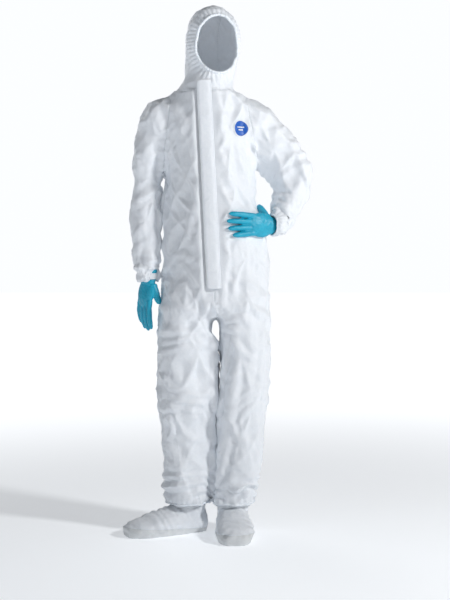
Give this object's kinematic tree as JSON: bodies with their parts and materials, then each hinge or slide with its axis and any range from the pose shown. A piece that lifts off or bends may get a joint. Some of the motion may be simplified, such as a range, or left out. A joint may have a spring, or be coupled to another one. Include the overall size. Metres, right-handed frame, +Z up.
{
  "type": "chemical protective suit",
  "caption": "Hooded one-piece protective coverall with front zip and storm flap, elastic cuffs, gloves and overboots, shaped as if worn with one hand on the hip.",
  "frame": {"origin": "centre of the bounding box's bottom face, on the floor under the suit", "axes": "+Z up, the suit's front faces -Y and its left side is +X"},
  "size_m": [0.6488, 0.3644, 1.78],
  "materials": {
    "spunbond": "white flash-spun polyethylene, papery and faintly crinkled",
    "elastic_hem": "white cloth gathered over a stitched elastic",
    "slip_resistant_sole": "light grey slip-retardant coated fabric",
    "label": "plain woven label",
    "zip_nylon": "white nylon coil zip",
    "adhesive_strip": "release paper over an adhesive strip",
    "badge_print": "plain blue printed badge",
    "nitrile": "turquoise nitrile, satin with fine creases"
  },
  "bodies": {
    "torso": {"right_front": "spunbond", "left_front": "spunbond", "upper_back": "spunbond", "right_seat_and_leg_back": "spunbond", "left_seat_and_leg_back": "spunbond", "crotch_gusset": "spunbond", "waist_elastic": "elastic_hem", "right_ankle_elastic": "elastic_hem", "left_ankle_elastic": "elastic_hem", "right_overboot": "spunbond", "left_overboot": "spunbond", "right_overboot_sole": "slip_resistant_sole", "left_overboot_sole": "slip_resistant_sole", "size_label": "label", "right_zip_tape": "zip_nylon", "left_zip_tape": "zip_nylon", "right_zip_teeth": "zip_nylon", "left_zip_teeth": "zip_nylon", "zip_bottom_stop": "zip_nylon", "zip_top_stop": "zip_nylon", "flap_adhesive_strip": "adhesive_strip", "chest_badge": "badge_print"},
    "hood": {"hood_centre_panel": "spunbond", "hood_right_side": "spunbond", "hood_left_side": "spunbond", "hood_face_elastic_hem": "elastic_hem"},
    "right_arm": {"right_sleeve": "spunbond", "right_cuff_elastic": "elastic_hem"},
    "left_arm": {"left_sleeve": "spunbond", "left_cuff_elastic": "elastic_hem", "left_glove": "nitrile"},
    "right_hand": {"right_glove": "nitrile"},
    "flap": {"storm_flap": "spunbond"},
    "slider": {"zip_slider": "zip_nylon"},
    "pull": {"zip_pull": "zip_nylon"}
  },
  "joints": [
    {"name": "zip_slide", "type": "slide", "parent": "torso", "child": "slider", "axis": [-0.0504, 0.0523, 0.9974], "range_m": [-0.612, 0]},
    {"name": "zip_pull_tilt", "type": "hinge", "parent": "slider", "child": "pull", "pos_m": [-0.05005, -0.04587, 1.46741], "axis": [-0.9987, -0.0026, -0.0503], "range_deg": [0, 10]},
    {"name": "storm_flap_peel", "type": "hinge", "parent": "torso", "child": "flap", "pos_m": [-0.00954, -0.06513, 1.14561], "axis": [-0.0504, 0.0523, 0.9974], "range_deg": [0, 125]},
    {"name": "hood_tip_back", "type": "hinge", "parent": "torso", "child": "hood", "pos_m": [-0.0476, 0.117, 1.485], "axis": [-1, 0, 0], "range_deg": [0, 30]},
    {"name": "right_sleeve_raise", "type": "hinge", "parent": "torso", "child": "right_arm", "pos_m": [-0.1944, 0.06569, 1.39], "axis": [0, 1, 0], "range_deg": [0, 50]},
    {"name": "left_sleeve_raise", "type": "hinge", "parent": "torso", "child": "left_arm", "pos_m": [0.1116, 0.06269, 1.387], "axis": [0, -1, 0], "range_deg": [0, 35]},
    {"name": "right_glove_pull_off", "type": "slide", "parent": "right_arm", "child": "right_hand", "axis": [-0.1676, -0.0394, -0.9851], "range_m": [0, 0.12]}
  ]
}
